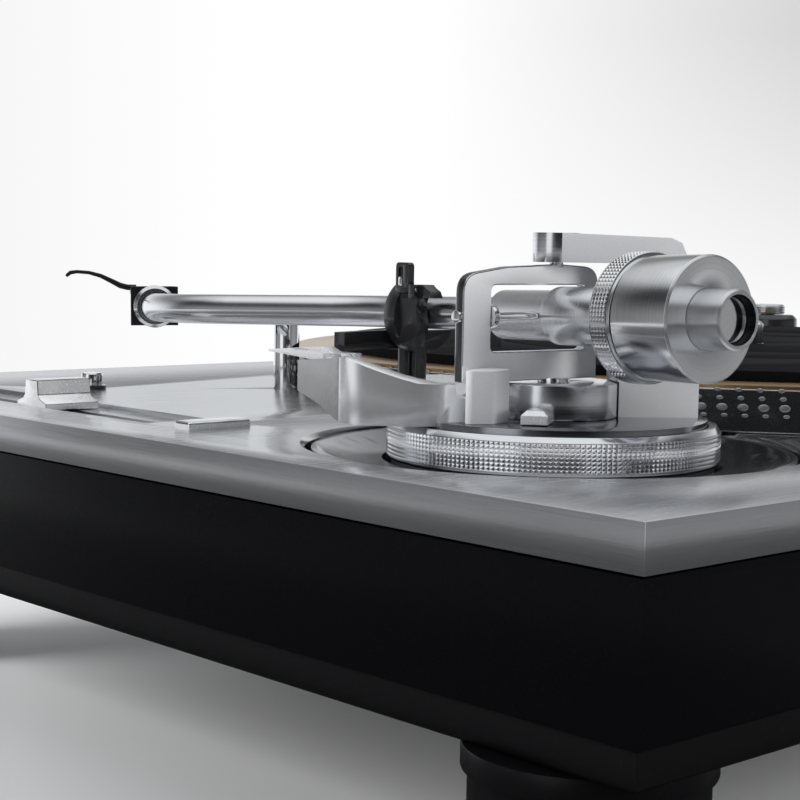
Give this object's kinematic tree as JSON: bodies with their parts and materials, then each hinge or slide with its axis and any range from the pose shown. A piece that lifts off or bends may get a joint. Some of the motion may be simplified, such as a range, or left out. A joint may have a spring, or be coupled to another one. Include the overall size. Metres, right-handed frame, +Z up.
{
  "type": "direct-drive turntable",
  "caption": "DJ turntable with a thick aluminium top plate, dotted platter, S-shaped tonearm on a knurled height ring, pitch fader, pop-up stylus light and turning feet.",
  "frame": {"origin": "on the table under the deck's centre, at the feet's soles", "axes": "+X to the player's right along the long side, +Y to its rear, +Z up"},
  "size_m": [0.453, 0.372, 0.1416],
  "materials": {
    "top_panel": "brushed with a bright bevelled edge",
    "cabinet": "satin black paint",
    "lower_base": "moulded black rubber",
    "base_screws": "zinc plated",
    "foot_front_left": "black shell",
    "foot_pad_front_left": "soft rubber",
    "foot_front_right": "black shell",
    "foot_pad_front_right": "soft rubber",
    "foot_rear_left": "black shell",
    "foot_pad_rear_left": "soft rubber",
    "foot_rear_right": "black shell",
    "foot_pad_rear_right": "soft rubber",
    "platter": "turned, rim coated black with bright dots",
    "brass_plate": "hairline turned",
    "platter_damper": "black rubber",
    "platter_mat": "matt rubber",
    "rotor_magnet": "ferrite",
    "spindle": "polished",
    "motor_base": "die cast",
    "stator_coils": "copper wire, brass stands in for it",
    "strobe_pillar": "black",
    "power_dial": "knurled edge",
    "start_stop_button": "satin",
    "speed_33_button": "satin",
    "speed_45_button": "satin",
    "reset_button": "satin with bright edge",
    "fader_knob": "brushed, polished ends",
    "fader_rail": "black",
    "light_post": "polished",
    "light_button": "polished",
    "light_button_ring": "black",
    "adaptor_45": "turned",
    "arm_flange": "polished dish",
    "arm_base": "die cast",
    "height_ring": "diamond knurl",
    "arm_platform": "satin casting",
    "anti_skate_housing": "satin",
    "anti_skate_dial": "knurled edge",
    "lower_bearing": "satin",
    "bridge": "polished edges",
    "lock_lever": "polished facets",
    "cue_lever": "satin",
    "lift_bar": "black",
    "arm_rest": "black",
    "rest_clamp": "black with bright latch",
    "yoke": "fine satin powder",
    "bearing_screws": "polished",
    "arm_bearing_housing": "polished",
    "arm_tube": "satin",
    "rear_shaft": "fine thread",
    "scale_ring": "diamond knurl",
    "counterweight": "turned",
    "locking_collar": "knurled",
    "headshell": "black anodised",
    "finger_lift": "black anodised",
    "phono_jacks": "gold plated",
    "ground_post": "gold plated, knurled",
    "mains_inlet": "black",
    "cover_hinge_sockets": "black",
    "circuit_board": "green board with parts"
  },
  "bodies": {
    "chassis": {"top_panel": "top_panel", "cabinet": "cabinet", "lower_base": "lower_base", "base_screws": "base_screws", "motor_base": "motor_base", "stator_coils": "stator_coils", "fader_rail": "fader_rail", "strobe_pillar": "strobe_pillar", "arm_flange": "arm_flange", "arm_base": "arm_base", "light_button_ring": "light_button_ring", "phono_jacks": "phono_jacks", "mains_inlet": "mains_inlet", "cover_hinge_sockets": "cover_hinge_sockets", "circuit_board": "circuit_board"},
    "rotor": {"platter": "platter", "brass_plate": "brass_plate", "platter_damper": "platter_damper", "rotor_magnet": "rotor_magnet", "spindle": "spindle"},
    "mat": {"platter_mat": "platter_mat"},
    "power_dial": {"power_dial": "power_dial"},
    "start_stop": {"start_stop_button": "start_stop_button"},
    "speed_33": {"speed_33_button": "speed_33_button"},
    "speed_45": {"speed_45_button": "speed_45_button"},
    "reset": {"reset_button": "reset_button"},
    "fader": {"fader_knob": "fader_knob"},
    "stylus_light": {"light_post": "light_post"},
    "light_button": {"light_button": "light_button"},
    "adaptor": {"adaptor_45": "adaptor_45"},
    "height_ring": {"height_ring": "height_ring"},
    "platform": {"arm_platform": "arm_platform", "anti_skate_housing": "anti_skate_housing", "lower_bearing": "lower_bearing", "bridge": "bridge", "arm_rest": "arm_rest"},
    "lock_lever": {"lock_lever": "lock_lever"},
    "anti_skate": {"anti_skate_dial": "anti_skate_dial"},
    "cue_lever": {"cue_lever": "cue_lever"},
    "lift_bar": {"lift_bar": "lift_bar"},
    "clamp": {"rest_clamp": "rest_clamp"},
    "gimbal": {"yoke": "yoke", "bearing_screws": "bearing_screws"},
    "arm": {"arm_bearing_housing": "arm_bearing_housing", "arm_tube": "arm_tube", "rear_shaft": "rear_shaft"},
    "scale": {"scale_ring": "scale_ring"},
    "weight": {"counterweight": "counterweight"},
    "collar": {"locking_collar": "locking_collar"},
    "head": {"headshell": "headshell", "finger_lift": "finger_lift"},
    "ground": {"ground_post": "ground_post"},
    "foot_front_left": {"foot_front_left": "foot_front_left", "foot_pad_front_left": "foot_pad_front_left"},
    "foot_front_right": {"foot_front_right": "foot_front_right", "foot_pad_front_right": "foot_pad_front_right"},
    "foot_rear_left": {"foot_rear_left": "foot_rear_left", "foot_pad_rear_left": "foot_pad_rear_left"},
    "foot_rear_right": {"foot_rear_right": "foot_rear_right", "foot_pad_rear_right": "foot_pad_rear_right"}
  },
  "joints": [
    {"name": "platter_spin", "type": "hinge", "parent": "chassis", "child": "rotor", "pos_m": [-0.0475, 0.0064, 0.089], "axis": [0, 0, 1], "continuous": true},
    {"name": "mat_lift", "type": "slide", "parent": "rotor", "child": "mat", "axis": [0, 0, 1], "range_m": [0, 0.03]},
    {"name": "power_dial_turn", "type": "hinge", "parent": "chassis", "child": "power_dial", "pos_m": [-0.2005, -0.0985, 0.109], "axis": [0, 0, 1], "range_deg": [0, 60]},
    {"name": "start_stop_press", "type": "slide", "parent": "chassis", "child": "start_stop", "axis": [0, 0, -1], "range_m": [0, 0.0015], "stiffness_N_per_m": 500, "springref_m": -0.0005},
    {"name": "speed_33_press", "type": "slide", "parent": "chassis", "child": "speed_33", "axis": [0, 0, -1], "range_m": [0, 0.0015], "stiffness_N_per_m": 500, "springref_m": -0.0005},
    {"name": "speed_45_press", "type": "slide", "parent": "chassis", "child": "speed_45", "axis": [0, 0, -1], "range_m": [0, 0.0015], "stiffness_N_per_m": 500, "springref_m": -0.0005},
    {"name": "reset_press", "type": "slide", "parent": "chassis", "child": "reset", "axis": [0, 0, -1], "range_m": [0, 0.0012], "stiffness_N_per_m": 500, "springref_m": -0.0005},
    {"name": "light_button_press", "type": "slide", "parent": "chassis", "child": "light_button", "axis": [0, 0, -1], "range_m": [0, 0.003], "stiffness_N_per_m": 500, "springref_m": -0.0005},
    {"name": "fader_slide", "type": "slide", "parent": "chassis", "child": "fader", "axis": [0, 1, 0], "range_m": [-0.05, 0.05]},
    {"name": "stylus_light_rise", "type": "slide", "parent": "chassis", "child": "stylus_light", "axis": [0, 0, 1], "range_m": [-0.022, 0]},
    {"name": "adaptor_lift", "type": "slide", "parent": "chassis", "child": "adaptor", "axis": [0, 0, 1], "range_m": [0, 0.03]},
    {"name": "height_ring_turn", "type": "hinge", "parent": "chassis", "child": "height_ring", "pos_m": [0.15, 0.092, 0.089], "axis": [0, 0, 1], "range_deg": [0, 330]},
    {"name": "platform_rise", "type": "slide", "parent": "chassis", "child": "platform", "axis": [0, 0, 1], "range_m": [0, 0.006]},
    {"name": "lock_lever_turn", "type": "hinge", "parent": "platform", "child": "lock_lever", "pos_m": [0.16689, 0.10361, 0.0965], "axis": [0, 0, 1], "range_deg": [0, 45]},
    {"name": "anti_skate_turn", "type": "hinge", "parent": "platform", "child": "anti_skate", "pos_m": [0.188, 0.07, 0.1046], "axis": [0, 0, 1], "range_deg": [0, 270]},
    {"name": "cue_lever_raise", "type": "hinge", "parent": "platform", "child": "cue_lever", "pos_m": [0.1774, 0.043, 0.1083], "axis": [-1, 0, 0], "range_deg": [-25, 0]},
    {"name": "lift_bar_rise", "type": "slide", "parent": "platform", "child": "lift_bar", "axis": [0, 0, 1], "range_m": [-0.0045, 0]},
    {"name": "rest_clamp_fold", "type": "hinge", "parent": "platform", "child": "clamp", "pos_m": [0.15529, 0.04235, 0.1262], "axis": [0.0872, 0.9962, 0], "range_deg": [-90, 0]},
    {"name": "arm_swing", "type": "hinge", "parent": "platform", "child": "gimbal", "pos_m": [0.15, 0.092, 0.089], "axis": [0, 0, 1], "range_deg": [-49, 0]},
    {"name": "arm_tilt", "type": "hinge", "parent": "gimbal", "child": "arm", "pos_m": [0.15, 0.092, 0.1212], "axis": [-0.9962, 0.0872, 0], "range_deg": [0, 12]},
    {"name": "weight_travel", "type": "slide", "parent": "arm", "child": "scale", "axis": [-0.0871, -0.9959, -0.025], "range_m": [-0.003, 0.003]},
    {"name": "counterweight_turn", "type": "hinge", "parent": "scale", "child": "weight", "pos_m": [0.15349, 0.13184, 0.1222], "axis": [-0.0871, -0.9959, -0.025], "range_deg": [-1070, 1070]},
    {"name": "collar_turn", "type": "hinge", "parent": "arm", "child": "collar", "pos_m": [0.14231, -0.09415, 0.11655], "axis": [-0.5446, -0.8384, -0.0221], "range_deg": [0, 60]},
    {"name": "headshell_pull", "type": "slide", "parent": "arm", "child": "head", "axis": [-0.5446, -0.8384, -0.0221], "range_m": [0, 0.015]},
    {"name": "ground_post_turn", "type": "hinge", "parent": "chassis", "child": "ground", "pos_m": [-0.086, 0.1756, 0.062], "axis": [0, 1, 0], "range_deg": [-360, 360]},
    {"name": "foot_turn_front_left", "type": "hinge", "parent": "chassis", "child": "foot_front_left", "pos_m": [-0.199, -0.15, 0.036], "axis": [0, 0, 1], "range_deg": [-360, 360]},
    {"name": "foot_turn_front_right", "type": "hinge", "parent": "chassis", "child": "foot_front_right", "pos_m": [0.199, -0.15, 0.036], "axis": [0, 0, 1], "range_deg": [-360, 360]},
    {"name": "foot_turn_rear_left", "type": "hinge", "parent": "chassis", "child": "foot_rear_left", "pos_m": [-0.199, 0.15, 0.036], "axis": [0, 0, 1], "range_deg": [-360, 360]},
    {"name": "foot_turn_rear_right", "type": "hinge", "parent": "chassis", "child": "foot_rear_right", "pos_m": [0.199, 0.15, 0.036], "axis": [0, 0, 1], "range_deg": [-360, 360]}
  ],
  "couplings": [
    {"joint": "height_ring_turn", "follows": "platform_rise", "rad_per_m": 959.9},
    {"joint": "lift_bar_rise", "follows": "cue_lever_raise", "m_per_rad": 0.0103},
    {"joint": "weight_travel", "follows": "counterweight_turn", "m_per_rad": 0.000159}
  ]
}
